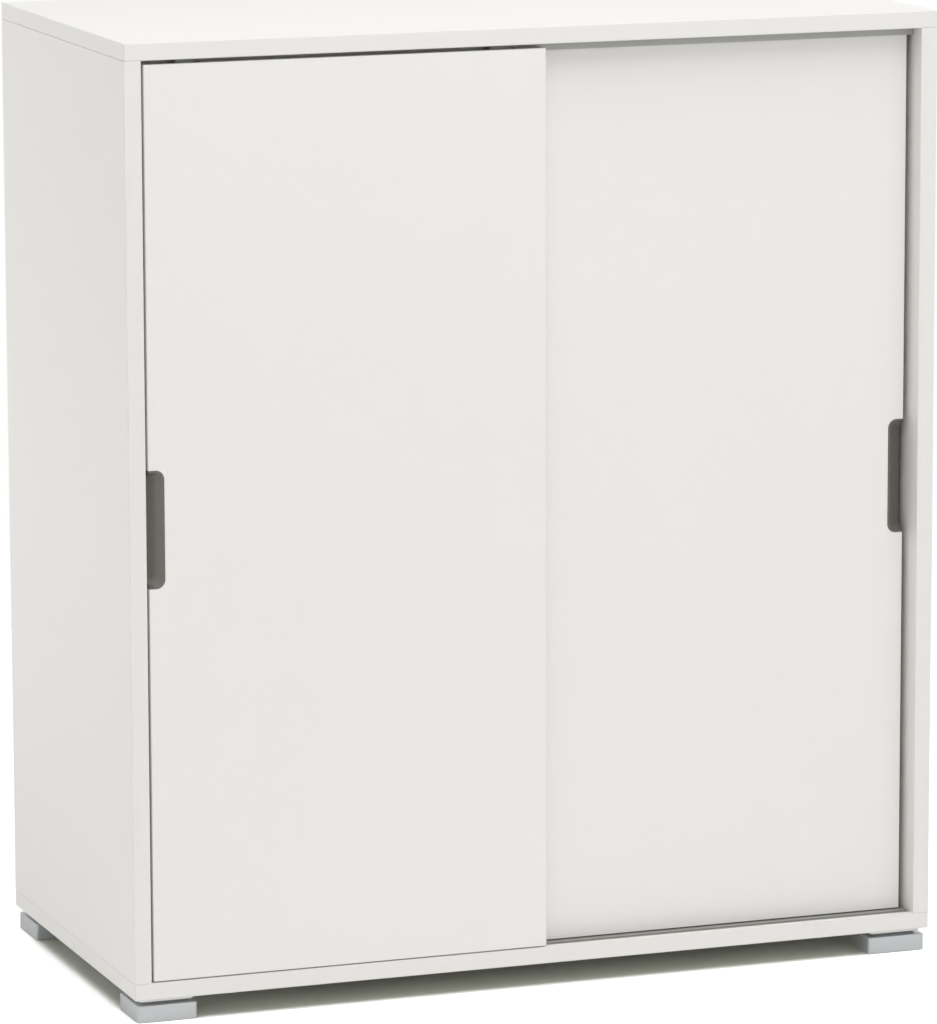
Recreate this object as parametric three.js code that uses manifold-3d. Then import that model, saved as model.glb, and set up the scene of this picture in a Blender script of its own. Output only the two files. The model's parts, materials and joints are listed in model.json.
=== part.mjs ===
// A cabinet with two sliding doors that pass each other on twin-channel tracks.
// Millimetres. X runs to the right, Y to the back and Z up. The origin lies on the floor, under the
// centre of the carcass, and the doors face -Y.
import * as THREE from "three";
import { mergeVertices } from "three/addons/utils/BufferGeometryUtils.js";
import Module from "manifold-3d";

const wasm = await Module();
wasm.setup();

// Carcass
const cabinetWidth = 800;
const cabinetDepth = 400;
const carcassHeight = 888;
const board = 16;
const fitGap = 0.3;
const cutOverrun = 5;
const weldDistance = 0.001;

// Back panel and its groove
const backThickness = 3;
const backSetIn = 10;
const backGrooveDepth = 6;

// Doors
const doorThickness = 16;
const doorOverlap = 16;
const frontDoorSetBack = 1;
const doorPlaneGap = 5;
const leftDoorSideGap = 2.5;
const rightDoorSideGap = 5.5;
const doorBottomGap = 1;
const doorTopGap = 4;

// Tracks
const trackWall = 1.2;
const channelWidth = 6.6;
const topChannelDepth = 8.8;
const bottomChannelDepth = 3.3;
const finThickness = 1.6;
const finDrop = 7.8;

// Fittings let into the back of the doors
const fittingPocketDepth = 9;
const fittingInset = 42;

// Roller units
const wheelRadius = 11;
const wheelWidth = 4.4;
const wheelCrown = 0.4;
const wheelHubRadius = 4.5;
const wheelWebDepth = 0.9;
const wheelRimThickness = 2.4;
const axleRadius = 2;
const rollerHousingLength = 40;
const rollerHousingHeight = 24;
const rollerHousingCorner = 4;
const wheelArchGap = 1.5;
const housingScrewRadius = 1.8;

// Door guides
const guideLength = 30;
const guideHeight = 18;
const tongueLength = 20;
const tongueThickness = 5;
const tongueReach = 4.5;

// Recessed pulls
const pullHeight = 109;
const pullWidth = 15;
const pullCorner = 8;
const pullCentreHeight = 463.5;
const pullScoopDepth = 10;
const pullRim = 1;
const pullSkin = 2.2;
const scoopPower = 1.5;
const scoopSteps = 10;

// Partition, shelves and their pins
const interiorClearance = 6;
const shelfSetBack = 8;
const shelfEndGap = 1;
const lowerShelfShare = 1 / 3;
const upperShelfShare = 2 / 3;
const pinRadius = 2.5;
const pinShaft = 7;
const pinNose = 7;
const pinCollarRadius = 4;
const pinCollarThickness = 1;
const pinEdgeDistance = 37;
const pinPitch = 32;
const spareHolesEachWay = 1;

// Feet
const footHeight = 22;
const footBlockSide = 58;
const footBlockHeight = 16;
const footCorner = 3;
const footBevel = 0.8;
const footSetIn = 3;
const footPlateSide = 52;
const footPlateThickness = 3;
const footNeckSide = 44;
const footScrewHeadRadius = 5.5;
const footScrewHeadDepth = 6;
const footScrewRadius = 2.75;

// Facets round a wheel and round a pin or bore, and half the facets of a rounded corner
const wheelFacets = 24;
const pinFacets = 10;
const cornerFacets = 4;

// Places that follow from the sizes above
const halfWidth = cabinetWidth / 2;
const halfDepth = cabinetDepth / 2;
const front = -halfDepth;
const carcassBottom = footHeight;
const carcassTop = footHeight + carcassHeight;
const innerLeft = -halfWidth + board;
const innerRight = halfWidth - board;
const innerBottom = carcassBottom + board;
const innerTop = carcassTop - board;
const innerWidth = innerRight - innerLeft;
const innerHeight = innerTop - innerBottom;
const backFront = halfDepth - backSetIn - backThickness;

const doorPitch = doorThickness + doorPlaneGap;
const frontDoorFace = front + frontDoorSetBack;
const rearDoorFace = frontDoorFace + doorPitch;
const doorBottom = innerBottom + doorBottomGap;
const doorTop = innerTop - doorTopGap;
const doorWidth = (innerWidth - leftDoorSideGap - rightDoorSideGap + doorOverlap) / 2;
const leftDoorStart = innerLeft + leftDoorSideGap;
const rightDoorStart = innerRight - rightDoorSideGap - doorWidth;

// Middle of the fittings and of the track's channel, measured from a door's face
const fittingCentre = doorThickness - fittingPocketDepth / 2;
const fittingThickness = fittingPocketDepth - 2 * fitGap;
const frontChannel = frontDoorFace + fittingCentre;
const rearChannel = rearDoorFace + fittingCentre;
const trackSetIn = channelWidth / 2 + trackWall;

const interiorFront = rearDoorFace + doorThickness + interiorClearance;
const shelfFront = interiorFront + shelfSetBack;
const shelfBack = backFront - shelfEndGap;

const material = (color, roughness, metalness) =>
  new THREE.MeshStandardMaterial({ color, roughness, metalness });

const finishes = {
  carcass: () => material(0xe9e8e2, 0.5, 0),
  door: () => material(0xe8e7e3, 0.45, 0),
  back: () => material(0xeceae4, 0.7, 0),
  pull: () => material(0x645f5b, 0.35, 0.8),
  track: () => material(0xa8a8a2, 0.4, 0.8),
  foot: () => material(0xbfc4c8, 0.35, 0.7),
  footPlate: () => material(0xb4b8ba, 0.45, 0.5),
  housing: () => material(0x3a3a3a, 0.6, 0),
  wheel: () => material(0xe2e0d8, 0.5, 0),
  steel: () => material(0xb8b8b8, 0.3, 1),
};

// Turns a closed geometry into a solid that can be cut and joined.
function solid(geometry) {
  const bare = geometry.clone();
  bare.deleteAttribute("normal");
  bare.deleteAttribute("uv");
  const merged = mergeVertices(bare, weldDistance);
  return new wasm.Manifold(
    new wasm.Mesh({
      numProp: 3,
      vertProperties: merged.attributes.position.array,
      triVerts: new Uint32Array(merged.index.array),
    }),
  );
}

// Turns a solid back into a flat-shaded geometry.
function geometryOf(made) {
  const mesh = made.getMesh();
  const geometry = new THREE.BufferGeometry();
  geometry.setAttribute("position", new THREE.BufferAttribute(mesh.vertProperties, 3));
  geometry.setIndex(new THREE.BufferAttribute(mesh.triVerts, 1));
  const flat = geometry.toNonIndexed();
  flat.computeVertexNormals();
  return flat;
}

// Takes every cutter away from a geometry.
function cut(geometry, cutters) {
  let made = solid(geometry);
  for (const cutter of cutters) {
    made = made.subtract(solid(cutter));
  }
  return geometryOf(made);
}

// A box between two values on each axis.
function box(x0, x1, y0, y1, z0, z1) {
  const geometry = new THREE.BoxGeometry(x1 - x0, y1 - y0, z1 - z0);
  return geometry.translate((x0 + x1) / 2, (y0 + y1) / 2, (z0 + z1) / 2);
}

// Extrusions of a flat outline. Their basis says where the outline's two axes and the length go.
const xAxis = new THREE.Vector3(1, 0, 0);
const yAxis = new THREE.Vector3(0, 1, 0);
const zAxis = new THREE.Vector3(0, 0, 1);

function extrude(outline, length, curveSegments = cornerFacets) {
  return new THREE.ExtrudeGeometry(outline, {
    depth: length,
    bevelEnabled: false,
    curveSegments,
  });
}

// The outline is drawn in Y and Z, and runs from x0 along X.
function extrudeAlongX(outline, x0, length) {
  const turn = new THREE.Matrix4().makeBasis(yAxis, zAxis, xAxis);
  return extrude(outline, length).applyMatrix4(turn).translate(x0, 0, 0);
}

// The outline is drawn in X and Z, and runs from y0 towards the back.
function extrudeAlongY(outline, y0, length, curveSegments) {
  const turn = new THREE.Matrix4().makeBasis(xAxis, zAxis, yAxis.clone().negate());
  return extrude(outline, length, curveSegments).applyMatrix4(turn).translate(0, y0 + length, 0);
}

// A round rod or bore along X, Y or Z, from a starting point.
function rod(direction, radius, x, y, z, length, facets = pinFacets) {
  const geometry = new THREE.CylinderGeometry(radius, radius, length, facets);
  geometry.translate(0, length / 2, 0);
  if (direction === "x") {
    geometry.rotateZ(-Math.PI / 2);
  }
  if (direction === "z") {
    geometry.rotateX(Math.PI / 2);
  }
  return geometry.translate(x, y, z);
}

function polygon(points) {
  return new THREE.Shape(points.map(([u, v]) => new THREE.Vector2(u, v)));
}

// A rectangle with its four corners rounded, centred on a point.
function roundedRectangle(centreU, centreV, width, height, radius) {
  const [left, right] = [centreU - width / 2, centreU + width / 2];
  const [low, high] = [centreV - height / 2, centreV + height / 2];
  const outline = new THREE.Shape();
  outline.moveTo(left + radius, low);
  outline.lineTo(right - radius, low);
  outline.absarc(right - radius, low + radius, radius, -Math.PI / 2, 0);
  outline.lineTo(right, high - radius);
  outline.absarc(right - radius, high - radius, radius, 0, Math.PI / 2);
  outline.lineTo(left + radius, high);
  outline.absarc(left + radius, high - radius, radius, Math.PI / 2, Math.PI);
  outline.lineTo(left, low + radius);
  outline.absarc(left + radius, low + radius, radius, Math.PI, 1.5 * Math.PI);
  return outline;
}

const cabinet = new THREE.Group();

function add(parent, name, geometry, finish) {
  const mesh = new THREE.Mesh(geometry, finishes[finish]());
  mesh.name = name;
  parent.add(mesh);
  return mesh;
}

// Heights of a pin hole's row: one at each shelf, with spare holes above and below it.
function pinHoleHeights() {
  const heights = [];
  for (const share of [lowerShelfShare, upperShelfShare]) {
    for (let step = -spareHolesEachWay; step <= spareHolesEachWay; step += 1) {
      heights.push(pinHeight(share) + step * pinPitch);
    }
  }
  return heights;
}

const shelfUnderside = (share) => innerBottom + share * innerHeight - board / 2;
const pinHeight = (share) => shelfUnderside(share) - pinRadius - fitGap;
const pinRows = [shelfFront + pinEdgeDistance, shelfBack - pinEdgeDistance];

// Blind holes for the shelf pins in a face at x. The holes go in towards +X or -X.
function pinHoles(x, towards) {
  const depth = pinShaft + fitGap;
  const start = towards > 0 ? x - cutOverrun : x - depth;
  return pinRows.flatMap((y) =>
    pinHoleHeights().map((z) => rod("x", pinRadius + fitGap, start, y, z, depth + cutOverrun)),
  );
}

// The groove that holds the back panel, cut into the inner face of each carcass panel.
function backGroove(x0, x1, z0, z1) {
  return box(x0, x1, backFront - fitGap, backFront + backThickness + fitGap, z0, z1);
}

// Top and bottom panels: a back groove and the wide groove that takes a track.
function flatPanel(low, innerFace, inward, trackDepth) {
  const x0 = innerLeft - backGrooveDepth;
  const x1 = innerRight + backGrooveDepth;
  const grooveEnd = innerFace - inward * backGrooveDepth;
  const trackEnd = innerFace - inward * (trackDepth + trackWall + fitGap);
  const overrun = innerFace + inward * cutOverrun;
  const spans = (end) => [Math.min(end, overrun), Math.max(end, overrun)];
  return cut(box(-halfWidth, halfWidth, front, halfDepth, low, low + board), [
    backGroove(x0, x1, ...spans(grooveEnd)),
    box(
      innerLeft,
      innerRight,
      frontChannel - trackSetIn - fitGap,
      rearChannel + trackSetIn + fitGap,
      ...spans(trackEnd),
    ),
  ]);
}

function sidePanel(side) {
  const inner = side < 0 ? innerLeft : innerRight;
  const [x0, x1] = side < 0 ? [-halfWidth, innerLeft] : [innerRight, halfWidth];
  const grooveEnds = [inner + side * backGrooveDepth, inner - side * cutOverrun];
  return cut(box(x0, x1, front, halfDepth, innerBottom, innerTop), [
    backGroove(
      Math.min(...grooveEnds),
      Math.max(...grooveEnds),
      innerBottom - cutOverrun,
      innerTop + cutOverrun,
    ),
    ...pinHoles(inner, side),
  ]);
}

function partition() {
  const half = board / 2;
  return cut(box(-half, half, interiorFront, backFront - fitGap, innerBottom, innerTop), [
    ...pinHoles(-half, 1),
    ...pinHoles(half, -1),
  ]);
}

function backPanel() {
  const reach = backGrooveDepth - fitGap;
  return box(
    innerLeft - reach,
    innerRight + reach,
    backFront,
    backFront + backThickness,
    innerBottom - reach,
    innerTop + reach,
  );
}

function makeCarcass() {
  const carcass = new THREE.Group();
  add(carcass, "top_panel", flatPanel(innerTop, innerTop, -1, topChannelDepth), "carcass");
  add(carcass, "bottom_panel", flatPanel(carcassBottom, innerBottom, 1, bottomChannelDepth), "carcass");
  add(carcass, "left_side_panel", sidePanel(-1), "carcass");
  add(carcass, "right_side_panel", sidePanel(1), "carcass");
  add(carcass, "centre_partition", partition(), "carcass");
  add(carcass, "back_panel", backPanel(), "back");
  return carcass;
}

// A pin turned about its length: a shaft in the hole, a collar on the panel and a nose under the shelf.
function shelfPin() {
  const profile = [
    [0, -pinShaft],
    [pinRadius, -pinShaft],
    [pinRadius, 0],
    [pinCollarRadius, 0],
    [pinCollarRadius, pinCollarThickness],
    [pinRadius, pinCollarThickness],
    [pinRadius, pinNose],
    [0, pinNose],
  ];
  const points = profile.map(([r, h]) => new THREE.Vector2(r, h));
  return new THREE.LatheGeometry(points, pinFacets).rotateZ(-Math.PI / 2);
}

// One shelf and its four pins, between the inner faces x0 and x1.
function addShelf(parent, name, x0, x1, share) {
  const low = shelfUnderside(share);
  const [start, end] = [x0 + shelfEndGap, x1 - shelfEndGap];
  add(parent, `${name}_shelf`, box(start, end, shelfFront, shelfBack, low, low + board), "carcass");
  for (const [depthName, y] of [["front", pinRows[0]], ["rear", pinRows[1]]]) {
    for (const [sideName, x, turn] of [["left", x0, 0], ["right", x1, Math.PI]]) {
      const pin = add(parent, `${name}_${depthName}_${sideName}_pin`, shelfPin(), "steel");
      pin.position.set(x, y, pinHeight(share));
      pin.rotation.z = turn;
    }
  }
}

function makeInterior() {
  const interior = new THREE.Group();
  for (const [level, share] of [["lower", lowerShelfShare], ["upper", upperShelfShare]]) {
    addShelf(interior, `left_${level}`, innerLeft, -board / 2, share);
    addShelf(interior, `right_${level}`, board / 2, innerRight, share);
  }
  return interior;
}

// Section of a track in Y and Z. Two channels open towards the doors are joined by a flat web that
// lies level with the panel's face. inward is 1 where the channels open upwards and -1 where they
// open downwards, and a fin may stand on the web between the doors.
function trackSection(level, inward, channelDepth, fin) {
  const half = channelWidth / 2;
  const floor = level - inward * channelDepth;
  const base = floor - inward * trackWall;
  const webBack = level - inward * trackWall;
  const finCentre = rearDoorFace - doorPlaneGap / 2;
  const finSide = finThickness / 2;
  const finEnd = level + inward * finDrop;
  const finPoints = [
    [finCentre - finSide, level],
    [finCentre - finSide, finEnd],
    [finCentre + finSide, finEnd],
    [finCentre + finSide, level],
  ];
  const points = [
    [frontChannel - half - trackWall, base],
    [frontChannel - half - trackWall, level],
    [frontChannel - half, level],
    [frontChannel - half, floor],
    [frontChannel + half, floor],
    [frontChannel + half, level],
    ...(fin ? finPoints : []),
    [rearChannel - half, level],
    [rearChannel - half, floor],
    [rearChannel + half, floor],
    [rearChannel + half, level],
    [rearChannel + half + trackWall, level],
    [rearChannel + half + trackWall, base],
    [rearChannel - half - trackWall, base],
    [rearChannel - half - trackWall, webBack],
    [frontChannel + half + trackWall, webBack],
    [frontChannel + half + trackWall, base],
  ];
  return polygon(points);
}

function makeTracks() {
  const tracks = new THREE.Group();
  const start = innerLeft + fitGap;
  const length = innerWidth - 2 * fitGap;
  const top = trackSection(innerTop, -1, topChannelDepth, true);
  const bottom = trackSection(innerBottom, 1, bottomChannelDepth, false);
  add(tracks, "top_track", extrudeAlongX(top, start, length), "track");
  add(tracks, "bottom_track", extrudeAlongX(bottom, start, length), "track");
  return tracks;
}

// Below, each piece of a door is made in the door's own frame. Its origin is the lower left corner
// of the door's face, with X to the right, Y into the door and Z up.
const doorHeight = doorTop - doorBottom;
const pullLow = pullCentreHeight - pullHeight / 2 - doorBottom;
const pullPocketDepth = pullScoopDepth + pullSkin;
const wheelHeight = wheelRadius + fitGap - bottomChannelDepth - doorBottomGap;
const fittingPlaces = [
  ["left", fittingInset],
  ["right", doorWidth - fittingInset],
];

// A pull's outline: straight on the door's free edge, with two rounded inner corners. grow widens
// it on the three closed sides. side is -1 where the pull is in the door's left edge.
function pullOutline(side, grow, overrun) {
  const edge = side < 0 ? -overrun : doorWidth + overrun;
  const inner = side < 0 ? pullWidth + grow : doorWidth - pullWidth - grow;
  const radius = pullCorner + grow;
  const low = pullLow - grow;
  const high = pullLow + pullHeight + grow;
  const bend = inner + side * radius;
  const outline = new THREE.Shape();
  outline.moveTo(edge, low);
  outline.lineTo(bend, low);
  outline.absarc(bend, low + radius, radius, -Math.PI / 2, side < 0 ? 0 : -Math.PI, side > 0);
  outline.lineTo(inner, high - radius);
  outline.absarc(bend, high - radius, radius, side < 0 ? 0 : Math.PI, Math.PI / 2, side > 0);
  outline.lineTo(edge, high);
  return outline;
}

// The hollow of a pull, drawn in X and Y: from nothing at the inner rim it deepens on a smooth
// curve towards the door's edge, where it is level.
function scoopOutline(side) {
  const inner = side < 0 ? pullWidth - pullRim : doorWidth - pullWidth + pullRim;
  const reach = pullWidth - pullRim;
  const points = [[inner, -cutOverrun]];
  for (let step = 0; step <= scoopSteps; step += 1) {
    const share = step / scoopSteps;
    const depth = pullScoopDepth * (1 - (1 - share) ** scoopPower);
    points.push([inner + side * share * reach, depth]);
  }
  points.push([inner + side * (reach + cutOverrun), pullScoopDepth]);
  points.push([inner + side * (reach + cutOverrun), -cutOverrun]);
  return polygon(points);
}

function makePull(side) {
  const shell = extrudeAlongY(pullOutline(side, 0, 0), 0, pullPocketDepth);
  const scoop = extrude(scoopOutline(side), pullHeight).translate(0, 0, pullLow);
  const well = extrudeAlongY(
    pullOutline(side, -pullRim, cutOverrun),
    -cutOverrun,
    pullPocketDepth + cutOverrun,
  );
  return geometryOf(solid(shell).subtract(solid(scoop).intersect(solid(well))));
}

// A pocket milled from the back of a door, as long as the fitting that fills it.
function fittingPocket(centre, length, z0, z1) {
  const half = length / 2 + fitGap;
  const y0 = fittingCentre - fittingPocketDepth / 2;
  return box(centre - half, centre + half, y0, doorThickness + cutOverrun, z0, z1);
}

function doorPanel(pullSide) {
  const rollerTop = rollerHousingHeight + fitGap;
  const guideLow = doorHeight - guideHeight - fitGap;
  return cut(box(0, doorWidth, 0, doorThickness, 0, doorHeight), [
    ...fittingPlaces.map(([, x]) => fittingPocket(x, rollerHousingLength, -cutOverrun, rollerTop)),
    ...fittingPlaces.map(([, x]) => fittingPocket(x, guideLength, guideLow, doorHeight + cutOverrun)),
    extrudeAlongY(
      pullOutline(pullSide, fitGap, cutOverrun),
      -cutOverrun,
      pullPocketDepth + fitGap + cutOverrun,
    ),
  ]);
}

// The block that carries a wheel: an arch open to the floor, with the axle's bore and two screw holes.
function rollerHousing() {
  const y0 = fittingCentre - fittingThickness / 2;
  const halfLength = rollerHousingLength / 2;
  const archHalf = wheelRadius + wheelArchGap;
  const archTop = wheelHeight + archHalf;
  const slotHalf = wheelWidth / 2 + fitGap;
  const screwX = (halfLength + archHalf) / 2;
  const outline = new THREE.Shape();
  outline.moveTo(-halfLength, 0);
  outline.lineTo(halfLength, 0);
  outline.lineTo(halfLength, rollerHousingHeight - rollerHousingCorner);
  outline.absarc(
    halfLength - rollerHousingCorner,
    rollerHousingHeight - rollerHousingCorner,
    rollerHousingCorner,
    0,
    Math.PI / 2,
  );
  outline.lineTo(rollerHousingCorner - halfLength, rollerHousingHeight);
  outline.absarc(
    rollerHousingCorner - halfLength,
    rollerHousingHeight - rollerHousingCorner,
    rollerHousingCorner,
    Math.PI / 2,
    Math.PI,
  );
  const through = [y0 - cutOverrun, fittingThickness + 2 * cutOverrun];
  return cut(extrudeAlongY(outline, y0, fittingThickness), [
    box(
      -archHalf,
      archHalf,
      fittingCentre - slotHalf,
      fittingCentre + slotHalf,
      -cutOverrun,
      archTop,
    ),
    rod("y", axleRadius + fitGap, 0, through[0], wheelHeight, through[1]),
    ...[-screwX, screwX].map((x) =>
      rod("y", housingScrewRadius, x, through[0], rollerHousingHeight / 2, through[1]),
    ),
  ]);
}

// A wheel turned about its bore: a crowned rim, a thin web and a hub as wide as the rim.
function wheel() {
  const half = wheelWidth / 2;
  const bore = axleRadius + fitGap;
  const web = half - wheelWebDepth;
  const rim = wheelRadius - wheelRimThickness;
  const shoulder = half - wheelCrown;
  const crownRadius = wheelRadius - wheelCrown;
  const lower = [
    [bore, -half],
    [wheelHubRadius, -half],
    [wheelHubRadius, -web],
    [rim, -web],
    [rim, -half],
    [crownRadius, -half],
    [wheelRadius, -shoulder],
  ];
  const upper = lower.map(([r, h]) => [r, -h]).reverse();
  const points = [...lower, ...upper, lower[0]].map(([r, h]) => new THREE.Vector2(r, h));
  return new THREE.LatheGeometry(points, wheelFacets);
}

// A guide: a block let into the door's top edge, and a round-ended tongue that runs in the track.
function guide() {
  const y0 = fittingCentre - fittingThickness / 2;
  const half = guideLength / 2;
  const reach = doorTopGap + tongueReach;
  const block = box(-half, half, y0, y0 + fittingThickness, -guideHeight, 0);
  const tongue = extrude(
    roundedRectangle(0, fittingCentre, tongueLength, tongueThickness, tongueThickness / 2),
    guideHeight / 2 + reach,
  ).translate(0, 0, -guideHeight / 2);
  const hole = rod(
    "y",
    housingScrewRadius,
    0,
    y0 - cutOverrun,
    -guideHeight / 2,
    fittingThickness + 2 * cutOverrun,
  );
  return geometryOf(solid(block).add(solid(tongue)).subtract(solid(hole)));
}

function addRollerUnit(door, doorName, place, x) {
  const unit = new THREE.Group();
  unit.position.set(x, 0, 0);
  add(unit, `${doorName}_${place}_roller_housing`, rollerHousing(), "housing");
  const turning = add(unit, `${doorName}_${place}_wheel`, wheel(), "wheel");
  turning.position.set(0, fittingCentre, wheelHeight);
  const axleLength = fittingThickness - 2 * fitGap;
  const axleStart = fittingCentre - axleLength / 2;
  const axle = rod("y", axleRadius, 0, axleStart, wheelHeight, axleLength);
  add(unit, `${doorName}_${place}_axle`, axle, "steel");
  door.add(unit);
}

function makeDoor(name, pullSide, x, face) {
  const door = new THREE.Group();
  door.position.set(x, face, doorBottom);
  add(door, `${name}_panel`, doorPanel(pullSide), "door");
  add(door, `${name}_pull`, makePull(pullSide), "pull");
  for (const [place, along] of fittingPlaces) {
    addRollerUnit(door, name, place, along);
    const topGuide = add(door, `${name}_${place}_guide`, guide(), "housing");
    topGuide.position.set(along, 0, doorHeight);
  }
  return door;
}

function roundedSlab(side, radius, height, bevel) {
  const inner = side - 2 * bevel;
  const outline = roundedRectangle(0, 0, inner, inner, radius - bevel);
  return new THREE.ExtrudeGeometry(outline, {
    depth: height - 2 * bevel,
    bevelEnabled: true,
    bevelThickness: bevel,
    bevelSize: bevel,
    bevelSegments: 1,
    curveSegments: cornerFacets,
  }).translate(0, 0, bevel);
}

// A square block on the floor. Its fixing screw goes up through a counterbore.
function footBlock() {
  return cut(roundedSlab(footBlockSide, footCorner, footBlockHeight, footBevel), [
    rod("z", footScrewHeadRadius, 0, 0, -cutOverrun, footScrewHeadDepth + cutOverrun),
    rod("z", footScrewRadius, 0, 0, -cutOverrun, footBlockHeight + 2 * cutOverrun),
  ]);
}

// The plate under the carcass and the narrow neck that leaves a shadow gap above the block.
function footPlate() {
  const neckHeight = footHeight - footBlockHeight - footPlateThickness;
  const neckOverlap = footPlateThickness / 2;
  const neck = extrude(
    roundedRectangle(0, 0, footNeckSide, footNeckSide, footCorner),
    neckHeight + neckOverlap,
  );
  const plate = extrude(
    roundedRectangle(0, 0, footPlateSide, footPlateSide, footCorner),
    footPlateThickness,
  ).translate(0, 0, neckHeight);
  const hole = rod("z", footScrewRadius, 0, 0, -cutOverrun, footHeight + 2 * cutOverrun);
  return geometryOf(solid(neck).add(solid(plate)).subtract(solid(hole)));
}

function makeFeet() {
  const feet = new THREE.Group();
  const alongX = halfWidth - footSetIn - footBlockSide / 2;
  const alongY = halfDepth - footSetIn - footBlockSide / 2;
  for (const [depthName, y] of [["front", -alongY], ["rear", alongY]]) {
    for (const [sideName, x] of [["left", -alongX], ["right", alongX]]) {
      const foot = new THREE.Group();
      foot.position.set(x, y, 0);
      add(foot, `${depthName}_${sideName}_foot_block`, footBlock(), "foot");
      const plate = add(foot, `${depthName}_${sideName}_foot_plate`, footPlate(), "footPlate");
      plate.position.z = footBlockHeight;
      feet.add(foot);
    }
  }
  return feet;
}

cabinet.add(makeCarcass());
cabinet.add(makeInterior());
cabinet.add(makeTracks());
cabinet.add(makeDoor("left_door", -1, leftDoorStart, frontDoorFace));
cabinet.add(makeDoor("right_door", 1, rightDoorStart, rearDoorFace));
cabinet.add(makeFeet());

export default cabinet;
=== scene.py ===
"""Looks, stage and camera for a cabinet with two sliding doors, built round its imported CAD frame.

Every length is in metres, in the frame of the CAD: X to the right, Y to the back and Z up, with
the origin on the floor under the centre of the carcass.
"""
import json
import math

import bmesh
import bpy
import numpy as np
from bpy.props import FloatProperty, FloatVectorProperty, IntProperty, PointerProperty
from mathutils import Matrix, Vector

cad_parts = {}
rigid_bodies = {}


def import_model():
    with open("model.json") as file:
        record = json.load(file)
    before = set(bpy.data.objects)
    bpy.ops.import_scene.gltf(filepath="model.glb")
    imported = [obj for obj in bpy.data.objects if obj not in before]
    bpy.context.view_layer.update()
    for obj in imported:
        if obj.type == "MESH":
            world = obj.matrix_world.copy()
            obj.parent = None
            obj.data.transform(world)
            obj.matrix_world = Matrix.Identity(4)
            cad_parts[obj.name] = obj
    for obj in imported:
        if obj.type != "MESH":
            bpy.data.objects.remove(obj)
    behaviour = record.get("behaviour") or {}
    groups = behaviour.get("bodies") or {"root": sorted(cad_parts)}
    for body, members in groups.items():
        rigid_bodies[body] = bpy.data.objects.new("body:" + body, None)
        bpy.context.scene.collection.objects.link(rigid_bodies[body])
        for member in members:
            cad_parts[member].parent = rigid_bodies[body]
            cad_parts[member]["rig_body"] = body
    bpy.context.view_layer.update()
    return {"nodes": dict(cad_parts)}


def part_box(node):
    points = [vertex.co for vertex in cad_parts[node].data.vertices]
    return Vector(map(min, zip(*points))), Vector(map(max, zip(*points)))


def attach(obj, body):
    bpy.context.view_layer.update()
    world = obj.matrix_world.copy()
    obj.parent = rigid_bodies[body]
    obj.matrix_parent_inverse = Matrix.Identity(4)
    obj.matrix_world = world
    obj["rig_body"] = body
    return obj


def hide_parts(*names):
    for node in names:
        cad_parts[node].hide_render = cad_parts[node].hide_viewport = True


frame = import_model()

bl_info = {
    "name": "Sliding door cabinet",
    "version": (1, 0, 0),
    "blender": (4, 5, 0),
    "location": "3D View > Sidebar > Cabinet",
    "description": "Dresses the packed cabinet in its boards, metal, fittings and studio",
    "category": "Object",
}

SIDES = ("left", "right")
ENDS = ("front", "rear")
DOORS = ("left_door", "right_door")
DOOR_ENDS = [f"{door}_{side}" for door in DOORS for side in SIDES]
SHELVES = [f"{side}_{level}" for side in SIDES for level in ("lower", "upper")]
FEET = [f"{end}_{side}_foot" for end in ENDS for side in SIDES]
X_AXIS, Y_AXIS, Z_AXIS = np.eye(3)


# Values of the settings

def linear(red, green, blue):
    """The linear colour of three sRGB values from 0 to 255."""
    share = np.array([red, green, blue]) / 255
    low = share <= 0.04045
    return tuple(np.where(low, share / 12.92, ((share + 0.055) / 1.055) ** 2.4).tolist())


def setting(kind, **fixed):
    """A kind of setting that is then given its name, description and default."""
    def declared(name, description, default):
        return kind(name=name, description=description, default=default, **fixed)

    return declared


length = setting(FloatProperty, min=0.0, precision=5, subtype="DISTANCE", unit="LENGTH")
point = setting(FloatVectorProperty, size=3, precision=4, subtype="TRANSLATION", unit="LENGTH")
angle = setting(FloatProperty, precision=3, subtype="ANGLE", unit="ROTATION")
focus = setting(FloatProperty, min=1.0, subtype="DISTANCE_CAMERA", unit="CAMERA")
power = setting(FloatProperty, min=0.0, unit="POWER")
factor = setting(FloatProperty, min=0.0, max=1.0, precision=3, subtype="FACTOR")
number = setting(FloatProperty, min=0.0, precision=3)
count = setting(IntProperty, min=1, max=6)
colour = setting(FloatVectorProperty, size=3, min=0.0, max=1.0, subtype="COLOR")
seen_colour = setting(FloatVectorProperty, size=3, min=0.0, soft_max=2.0, subtype="COLOR")


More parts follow.
